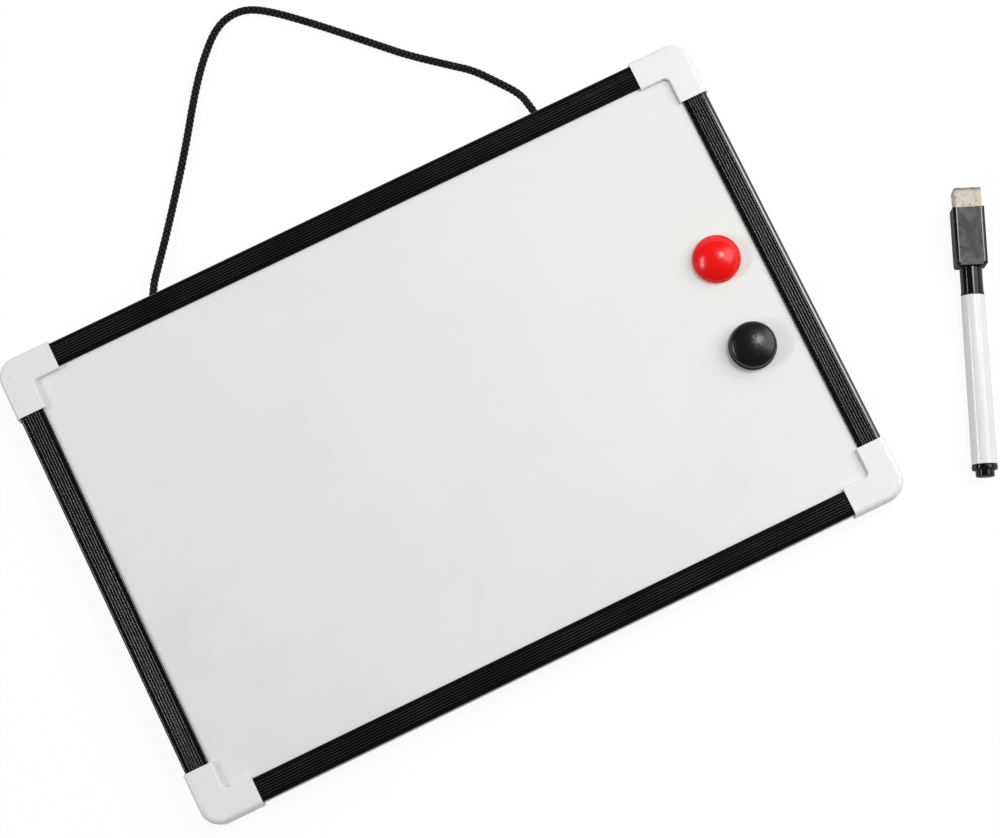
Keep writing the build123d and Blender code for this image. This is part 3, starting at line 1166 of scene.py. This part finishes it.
@dataclass
class HangingCord:
    """Braided cord through both holes of the top rail, tied off inside it.

    The braid has half of its yarns turning each way. Where two cross, one stands out and the
    other dips, and each yarn takes turns. The knots are the same braid, made smaller.
    """

    route: tuple[Point, ...] = (
        (-0.0832, 0.0962, -0.0032), (-0.0802, 0.1026, -0.0036), (-0.0745, 0.1100, -0.0056),
        (-0.0645, 0.1227, -0.00695), (-0.0463, 0.1467, -0.00695), (-0.0327, 0.1666, -0.00695),
        (-0.0232, 0.1784, -0.00695), (-0.0129, 0.1880, -0.00695), (-0.0027, 0.1901, -0.00695),
        (0.0064, 0.1862, -0.00695), (0.0214, 0.1728, -0.00695), (0.0418, 0.1523, -0.00695),
        (0.0504, 0.1436, -0.00695), (0.0642, 0.1321, -0.00695), (0.0712, 0.1264, -0.00695),
        (0.0766, 0.1194, -0.00695), (0.0837, 0.1094, -0.0058), (0.0846, 0.1030, -0.0037),
        (0.0858, 0.0962, -0.0032))
    route_order: int = 3
    route_resolution: int = 24
    diameter: float = 0.0032
    length: float = 0.260
    step: float = 0.00024
    yarns: int = 8
    lay: float = 0.0078
    ring: float = 0.00100
    weave_depth: float = 0.00024
    yarn_width: float = 0.00140
    yarn_thick: float = 0.00082
    yarn_corners: int = 9
    core: float = 0.00080
    core_corners: int = 8
    knot_size: Point = (0.0064, 0.0030, 0.0036)
    knot_span: tuple[float, float] = (2.8, 3.0)
    knot_steps: int = 72
    knot_scale: float = 0.55
    finish: Finish = BraidedYarn("black_braid_yarn")

    def spline_points(self) -> list[Vector]:
        """Draws the cord's NURBS spline.

        Returns:
            Its points, as Blender draws it.
        """
        curve = bpy.data.curves.new("cord_route", "CURVE")
        curve.dimensions = "3D"
        spline = curve.splines.new("NURBS")
        spline.points.add(len(self.route) - 1)
        for point, at in zip(spline.points, self.route):
            point.co = (*at, 1.0)
        spline.order_u = self.route_order
        spline.use_endpoint_u = True
        spline.resolution_u = self.route_resolution
        guide = new_piece("cord_route", curve)
        graph = bpy.context.evaluated_depsgraph_get()
        line = bpy.data.meshes.new_from_object(guide.evaluated_get(graph))
        points = [vertex.co.copy() for vertex in line.vertices]
        bpy.data.objects.remove(guide)
        bpy.data.meshes.remove(line)
        return points

    def knot_points(self, end: Vector) -> list[Vector]:
        """Draws an overhand knot pulled tight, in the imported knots' box.

        Args:
            end: end of the cord that it is tied in.

        Returns:
            Points of the closed line, in order.
        """
        low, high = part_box("cord_knots")
        middle = Vector((end.x, (low.y + high.y) / 2, (low.z + high.z) / 2))
        wide, deep, tall = self.knot_size
        across, up = self.knot_span
        points = []
        for step in range(self.knot_steps + 1):
            turn = step / self.knot_steps * FULL_TURN
            points.append(middle + Vector((
                wide / 2 * (math.sin(turn) + 2 * math.sin(2 * turn)) / across,
                deep / 2 * -math.sin(3 * turn),
                tall / 2 * (math.cos(turn) - 2 * math.cos(2 * turn)) / up)))
        return points

    def sizes(self, scale: float = 1.0) -> dict[str, object]:
        """Lists the sizes of a braid.

        Args:
            scale: its size, where 1 is the free cord's.

        Returns:
            Value of each input of the braid's tree.
        """
        return {
            "Step": self.step, "Yarns": self.yarns, "Lay": self.lay * scale,
            "Ring Radius": self.ring * scale, "Weave Depth": self.weave_depth * scale,
            "Yarn Width": self.yarn_width * scale, "Yarn Thickness": self.yarn_thick * scale,
            "Core Radius": self.core * scale, "Material": self.finish.material()}

    def braid_tree(self) -> Tree:
        """Builds the tree that lays the yarns of a braid round a core, along a line.

        Returns:
            The tree.
        """
        w, size = geometry_tree("cord_braid", self.sizes())
        line = w.take("GeometryNodeMeshToCurve", {0: size["Geometry"]})
        line = w.take("GeometryNodeResampleCurve", {"Curve": line, "Length": size["Step"]},
                      mode="LENGTH")
        place = w.add("GeometryNodeSplineParameter").outputs
        line = w.store(line, "side", w.take("GeometryNodeInputNormal"), "FLOAT_VECTOR")
        line = w.store(line, "ahead", w.take("GeometryNodeInputTangent"), "FLOAT_VECTOR")
        line = w.store(line, "along", place["Length"], "FLOAT")
        copies = w.add("GeometryNodeDuplicateElements",
                       {"Geometry": line, "Amount": size["Yarns"]}, domain="SPLINE").outputs
        laid = w.store(copies[0], "yarn", copies["Duplicate Index"], "INT", "CURVE")
        yarn = w.stored("yarn", "INT")
        hand = w.math("SUBTRACT", 1.0, w.times(w.math("MODULO", yarn, 2.0), 2.0))
        pair = w.math("FLOOR", w.math("DIVIDE", yarn, 2.0))
        start = w.times(pair, w.math("DIVIDE", 2 * FULL_TURN, size["Yarns"]))
        turns = w.math("DIVIDE", w.stored("along", "FLOAT"), size["Lay"])
        angle = w.plus(w.times(hand, w.times(turns, FULL_TURN)), start)
        crossing = w.math("COSINE", w.times(w.times(turns, size["Yarns"]), math.pi))
        proud = w.times(crossing, hand)
        laid = w.store(laid, "proud", proud, "FLOAT")
        side = w.stored("side", "FLOAT_VECTOR")
        third = w.vector("CROSS_PRODUCT", w.stored("ahead", "FLOAT_VECTOR"), side)
        outward = w.vector("ADD", w.vector("SCALE", side, scale=w.math("COSINE", angle)),
                           w.vector("SCALE", third, scale=w.math("SINE", angle)))
        radius = w.total(size["Ring Radius"], (proud, size["Weave Depth"]))
        laid = w.take("GeometryNodeSetPosition", {
            "Geometry": laid, "Offset": w.vector("SCALE", outward, scale=radius)})
        laid = w.take("GeometryNodeSetCurveNormal", {"Curve": laid, "Normal": outward},
                      mode="FREE")
        ring = w.take("GeometryNodeCurvePrimitiveCircle",
                      {"Resolution": self.yarn_corners, "Radius": 0.5})
        ring = w.store(ring, "around", place["Factor"], "FLOAT")
        flat = w.point(size["Yarn Thickness"], size["Yarn Width"], 1.0)
        ring = w.take("GeometryNodeTransform", {"Geometry": ring, "Scale": flat})
        core = w.take("GeometryNodeCurvePrimitiveCircle",
                      {"Resolution": self.core_corners, "Radius": size["Core Radius"]})
        return w.close((w.tube(laid, ring), w.tube(line, core)), size["Material"], smooth=True)

    def braid(self, name: str, lines: list[list[Vector]], tree: Tree,
              scale: float = 1.0) -> Piece:
        """Braids yarns along lines.

        Args:
            name: name of the new piece.
            lines: the points of each line.
            tree: the braid's tree.
            scale: size of the braid, where 1 is the free cord's.

        Returns:
            The new piece.
        """
        edges, start = [], 0
        for line in lines:
            edges += [(start + i, start + i + 1) for i in range(len(line) - 1)]
            start += len(line)
        mesh = bpy.data.meshes.new(name + "_guide")
        mesh.from_pydata([point for line in lines for point in line], edges, [])
        return grown_piece(name, new_piece(mesh.name, mesh), tree, self.sizes(scale))

    def build(self) -> None:
        tree = self.braid_tree()
        path = self.spline_points()
        cord = self.braid("braided_cord", [path], tree)
        ends = [self.knot_points(end) for end in (path[0], path[-1])]
        knots = self.braid("cord_end_knots", ends, tree, self.knot_scale)
        for piece, node in ((cord, "hanging_cord"), (knots, "cord_knots")):
            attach(piece, Body.BOARD.value)
            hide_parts(node)
            log.info("braided %s, %d faces", piece.name, len(piece.data.polygons))


# ---------------------------------------------------------------- magnets


@dataclass
class ButtonMagnets:
    """Red and black domed buttons over ferrite discs."""

    red: Finish = MouldedPlastic(
        "red_button_plastic", colour=(0.92, 0.003, 0.002), tone=(0.86, 0.002, 0.0015),
        rubbed=(0.88, 0.05, 0.035), dust=(0.70, 0.20, 0.16), roughness=0.22, wear_share=0.2,
        dust_share=0.1, speck_share=0.01, scratch_share=0.25, scratch_scale=380.0, shine=0.55)
    black: Finish = MouldedPlastic(
        "black_button_plastic", colour=(0.0060, 0.0062, 0.0060), tone=(0.0085, 0.0088, 0.0085),
        rubbed=(0.030, 0.030, 0.029), dust=(0.06, 0.057, 0.053), roughness=0.22,
        wear_share=0.1, dust_share=0.05, speck_share=0.03, scratch_share=0.7,
        scratch_scale=420.0, skin_scale=1000.0, skin_relief=(0.00012, 0.6), matt_walls=0.5)
    disc: Finish = BondedMagnet("pressed_ferrite", colour=(0.035, 0.035, 0.037), roughness=0.4)

    def build(self) -> None:
        """Dresses both buttons."""
        for colour, finish in (("red", self.red), ("black", self.black)):
            dress(f"{colour}_magnet_cap", finish)
            dress(f"{colour}_magnet_disc", self.disc)


# ---------------------------------------------------------------- marker


@dataclass
class Marker:
    """Mini marker with a white barrel, a black cap with a magnet strip, and a felt eraser.

    The felt is a block on a tongue in the cap. Its lumps, sag and rubbed end are given as the
    noise's scale per metre and the depth in metres, and its octaves as their roughness, gap
    and number. A fibre's bow and tip are shares of its length, level with the felt and out.
    """

    turn: float = math.radians(66.9)
    felt_size: Point = (0.0080, 0.0110, 0.0100)
    felt_sink: float = 0.0020
    felt_tongue: float = 0.0023
    felt_round: float = 0.0012
    felt_round_steps: int = 4
    felt_round_shape: float = 0.6
    felt_cuts: int = 14
    felt_cut_from: float = 0.0020
    felt_lumps: tuple[float, float] = (700.0, 0.00010)
    felt_octaves: tuple[float, float, int] = (0.8, 2.0, 4)
    felt_sag: tuple[float, float] = (260.0, 0.00018)
    felt_rub: tuple[float, float] = (420.0, 0.00035)
    felt_rub_from: float = 0.8
    felt_soil_from: float = 0.55
    felt_shrink: float = 0.00022
    fibre_density: float = 2.6e6
    fibre_length: float = 0.00055
    fibre_radius: float = 0.000022
    fibre_corners: int = 3
    fibre_steps: int = 4
    fibre_bow: tuple[float, float] = (0.2, 0.55)
    fibre_tip: tuple[float, float] = (0.75, 0.35)
    fibre_growth: tuple[float, float] = (0.5, 1.25)
    seed: int = 7
    barrel: Finish = MouldedPlastic(
        "white_barrel_plastic", colour=(0.765, 0.765, 0.77), tone=(0.75, 0.75, 0.755),
        rubbed=grey(0.82), dust=(0.45, 0.43, 0.40), roughness=0.14, wear_share=0.2,
        dust_share=0.2, speck_share=0.02, scratch_share=0.35, subsurface=0.08)
    black: Finish = MouldedPlastic(
        "black_marker_plastic", colour=(0.0032, 0.0032, 0.0034), tone=(0.0048, 0.0048, 0.005),
        rubbed=grey(0.035), dust=(0.08, 0.075, 0.07), roughness=0.07, wear_share=0.2,
        dust_share=0.08, speck_share=0.02, scratch_share=0.4, shine=0.35, matt_walls=0.5)
    strip: Finish = BondedMagnet("cap_magnet_strip")
    felt: Finish = WornFelt("worn_wool_felt")

    def ink_fibre(self) -> Finish:
        """Makes the finish of the ink core and the nib, in fine strands.

        Returns:
            The finish.
        """
        strands = Grain(1.0, 3.0, 0.6, stretch=(120.0, 3000.0, 3000.0), turn=-self.turn,
                        low=0.4, high=0.65)
        return Fibre("ink_soaked_fibre", colour=(0.020, 0.020, 0.024),
                     pale=(0.085, 0.085, 0.095), grain=strands, roughness=0.5,
                     grain_roughness=0.3)

    def felt_place(self, length: float) -> Matrix:
        """Finds where the felt block goes.

        Args:
            length: length of the block, with what is sunk in the cap.

        Returns:
            Place and turn of its middle.
        """
        axis = Vector((math.cos(self.turn), math.sin(self.turn), 0.0))
        front = middle_of("marker_eraser") + axis * (self.felt_tongue + self.felt_size[0]) / 2
        return Matrix.Translation(front - axis * length / 2) @ Matrix.Rotation(self.turn, 4, "Z")

    def wear_down(self, vertex: bmesh.types.BMVert, length: float) -> float:
        """Moves a point of the felt block to where wear has left it.

        Args:
            vertex: the point.
            length: length of the block.

        Returns:
            How soiled the felt is there, from 0 to 1.
        """
        (lumps, lump), (sags, sag), (rubs, rub) = self.felt_lumps, self.felt_sag, self.felt_rub
        at = vertex.co.copy()
        share = at.x / length + 0.5
        swell = noise.fractal(at * lumps, *self.felt_octaves) * lump
        swell += sag * noise.noise(at * sags)
        rubbed = rub * max(0.0, share - self.felt_rub_from) * (1.0 + noise.noise(at * rubs))
        vertex.co = at + vertex.normal * (swell - self.felt_shrink) - Vector((rubbed, 0.0, 0.0))
        return max(0.0, min(1.0, (share - self.felt_soil_from) / (1 - self.felt_soil_from)))

    def felt_block(self) -> Piece:
        """Builds the felt eraser's body: a rounded block with a rubbed, uneven end.

        Bevelled parts come in an order that changes from run to run, and the fibres' places
        follow the faces' order, so the points and faces are sorted.

        Returns:
            The body.
        """
        long, wide, high = self.felt_size
        size = Vector((long + self.felt_sink, wide, high))
        block = bmesh.new()
        bmesh.ops.create_cube(block, size=1.0)
        for vertex in block.verts:
            vertex.co = Vector((a * b for a, b in zip(vertex.co, size)))
        bmesh.ops.bevel(block, geom=block.edges[:] + block.verts[:], offset=self.felt_round,
                        segments=self.felt_round_steps, profile=self.felt_round_shape,
                        affect="EDGES")
        wide_edges = [e for e in block.edges if e.calc_length() > self.felt_cut_from]
        bmesh.ops.subdivide_edges(block, edges=wide_edges, cuts=self.felt_cuts,
                                  use_grid_fill=True)
        bmesh.ops.recalc_face_normals(block, faces=block.faces)
        verts = sorted(block.verts, key=lambda v: tuple(round(c, 7) for c in v.co))
        soil = [self.wear_down(vertex, size.x) for vertex in verts]
        block.transform(self.felt_place(long + self.felt_sink))
        rank = {vertex: number for number, vertex in enumerate(verts)}
        rings = []
        for face in block.faces:
            ring = [rank[vertex] for vertex in face.verts]
            start = ring.index(min(ring))
            rings.append(ring[start:] + ring[:start])
        mesh = bpy.data.meshes.new("felt_body")
        mesh.from_pydata([vertex.co for vertex in verts], [], sorted(rings))
        block.free()
        mesh.attributes.new("soil", "FLOAT", "POINT").data.foreach_set("value", soil)
        mesh.shade_smooth()
        return new_piece("felt_body", mesh)

    def sizes(self) -> dict[str, object]:
        """Lists the sizes of the loose fibres.

        Returns:
            Value of each input of the fibres' tree.
        """
        return {"Density": self.fibre_density, "Fibre Length": self.fibre_length,
                "Fibre Radius": self.fibre_radius, "Seed": self.seed,
                "Material": self.felt.material()}

    def fibre_tree(self) -> Tree:
        """Builds the tree that covers a felt body with short loose fibres.

        Returns:
            The tree.
        """
        w, size = geometry_tree("felt_fibres", self.sizes())
        body, seed = size["Geometry"], size["Seed"]
        roots = w.add("GeometryNodeDistributePointsOnFaces",
                      {"Mesh": body, "Density": size["Density"], "Seed": seed}).outputs
        bow, tip = (w.point(w.times(size["Fibre Length"], out), 0.0,
                            w.times(size["Fibre Length"], up))
                    for out, up in (self.fibre_bow, self.fibre_tip))
        hair = w.take("GeometryNodeCurveQuadraticBezier", {
            "Resolution": self.fibre_steps, "Start": (0.0, 0.0, 0.0), "Middle": bow,
            "End": tip})
        section = w.take("GeometryNodeCurvePrimitiveCircle",
                         {"Resolution": self.fibre_corners, "Radius": size["Fibre Radius"]})
        spin = w.take("FunctionNodeRandomValue", {
            0: (0.0, 0.0, 0.0), 1: (0.0, 0.0, FULL_TURN), "Seed": seed},
            data_type="FLOAT_VECTOR")
        tilt = w.take("FunctionNodeRotateRotation", {0: roots["Rotation"], 1: spin},
                      rotation_space="LOCAL")
        low, high = self.fibre_growth
        growth = w.add("FunctionNodeRandomValue", {2: low, 3: high, "Seed": seed},
                       data_type="FLOAT").outputs[1]
        fibres = w.take("GeometryNodeInstanceOnPoints", {
            "Points": roots[0], "Instance": w.tube(hair, section), "Rotation": tilt,
            "Scale": growth})
        return w.close((body, fibres), size["Material"])

    def build(self) -> None:
        """Dresses the marker's nodes and builds its felt eraser."""
        ink = self.ink_fibre()
        for part, finish in (("barrel", self.barrel), ("tail_plug", self.black),
                             ("nib_holder", self.black), ("cap", self.black),
                             ("cap_magnet", self.strip), ("ink_core", ink), ("nib", ink)):
            dress(f"marker_{part}", finish)
        felt = grown_piece("felt_eraser", self.felt_block(), self.fibre_tree(), self.sizes())
        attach(felt, Body.CAP.value)
        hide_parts("marker_eraser")
        log.info("felted %s, %d faces", felt.name, len(felt.data.polygons))


# ---------------------------------------------------------------- studio


@dataclass(frozen=True)
class Softbox:
    """An area lamp, aimed at the board from a direction in the view's own left and right.

    The two tilts are degrees from straight up: towards the view's right and its top.
    """

    name: str
    tilt_right: float
    tilt_up: float
    width: float
    height: float
    power: float
    distance: float = 1.7

    def build(self, right: Vector, up: Vector, aim: Vector) -> None:
        """Makes the lamp.

        Args:
            right: level direction of the view's right.
            up: level direction of the view's top.
            aim: point that the lamp faces.
        """
        way = right * math.tan(math.radians(self.tilt_right))
        way += up * math.tan(math.radians(self.tilt_up))
        way = (way + Vector((0.0, 0.0, 1.0))).normalized()
        lamp = bpy.data.lights.new(self.name, "AREA")
        lamp.shape = "RECTANGLE"
        lamp.size, lamp.size_y = self.width, self.height
        lamp.energy = self.power
        made = new_piece(self.name, lamp)
        made.location = aim + way * self.distance
        made.visible_camera = False
        across = (right - way * right.dot(way)).normalized()
        made.rotation_euler = Matrix((across, way.cross(across), way)).transposed().to_euler()


@dataclass
class Studio:
    """Table, world, lamps and camera."""

    place: Point = (-0.033279, -0.174814, 1.201740)
    turn: Point = (0.1450208, 0.0219609, -0.4506560)
    lens: float = 112.4493
    sensor: float = 36.0
    clip: tuple[float, float] = (0.05, 20.0)
    table_half: float = 4.0
    table_finish: Finish = Sweep("white_table")
    aim: Point = (0.122, -0.004, 0.0)
    fill: float = 0.37
    fill_share: float = 0.6
    fill_side: float = 0.8
    zenith: float = 0.06
    bright_side: Point = (0.889, 0.458, 0.0)
    side_fade: tuple[float, float] = (-0.3, 0.5)
    height_fade: tuple[float, float] = (0.05, 0.38)
    lamps: tuple[Softbox, ...] = (
        Softbox("left_strip", -57.0, -13.0, 0.11, 1.00, 8.7),
        Softbox("right_key", 17.0, 18.0, 0.22, 0.22, 2.8, 0.9),
        Softbox("right_reflector", 48.0, 24.0, 0.60, 0.90, 4.6, 1.00))

    def table(self) -> None:
        """Makes the white table that the set lies on."""
        half = self.table_half
        corners = ((-half, -half), (half, -half), (half, half), (-half, half))
        mesh = bpy.data.meshes.new("white_table")
        mesh.from_pydata([(x, y, TABLE) for x, y in corners], [], [(0, 1, 2, 3)])
        mesh.materials.append(self.table_finish.material())
        new_piece("white_table", mesh)

    def world(self) -> None:
        """Makes a soft world: fill light, and a white backdrop behind and to the right.

        What looks straight at the world sees white. Mirrored, the backdrop fades towards the
        ceiling and towards the dark side of the room.
        """
        world = bpy.data.worlds.new("soft_studio")
        bpy.context.scene.world = world
        world.use_nodes = True
        world.node_tree.nodes.clear()
        w = Wiring(world.node_tree)
        seen, mirrored, diffuse = w.rays()
        way = w.add("ShaderNodeTexCoord").outputs["Generated"]
        side = w.spread(w.vector("DOT_PRODUCT", way, self.bright_side), *self.side_fade)
        low = w.spread(w.axis(way, "Z"), *self.height_fade, 1.0, 0.0)
        backdrop = w.math("MAXIMUM", w.times(low, side), self.zenith)
        lit = w.times(w.total(self.fill_share, (side, self.fill_side)), self.fill)
        strength = w.total(0.0, (seen, 1.0), (mirrored, backdrop), (diffuse, lit))
        light = w.take("ShaderNodeBackground", {"Color": grey(1.0), "Strength": strength})
        w.add("ShaderNodeOutputWorld", {"Surface": light})

    def camera(self) -> Piece:
        """Makes the camera.

        Returns:
            The camera's object.
        """
        data = bpy.data.cameras.new("main_camera")
        data.lens = self.lens
        data.sensor_width = self.sensor
        data.clip_start, data.clip_end = self.clip
        camera = new_piece("main_camera", data)
        camera.location = self.place
        camera.rotation_euler = self.turn
        bpy.context.scene.camera = camera
        return camera

    def build(self) -> None:
        """Builds the studio."""
        camera = self.camera()
        self.table()
        self.world()
        bpy.context.view_layer.update()
        level = Vector((1.0, 1.0, 0.0))
        right = (camera.matrix_world.to_3x3() @ Vector((1.0, 0.0, 0.0))) * level
        right.normalize()
        up = Vector((-right.y, right.x, 0.0))
        for lamp in self.lamps:
            lamp.build(right, up, Vector(self.aim))
        bpy.context.scene.view_settings.view_transform = "Standard"
        log.info("studio with %d lamps", len(self.lamps))


def main() -> None:
    """Builds every piece in order."""
    logging.basicConfig(level=logging.INFO, format="%(name)s: %(message)s")
    for part in (HangingCord(), Studio(), WritingPanel(), RibbedRails(), CornerCaps(),
                 ButtonMagnets(), Marker()):
        part.build()


if __name__ == "__main__":
    main()
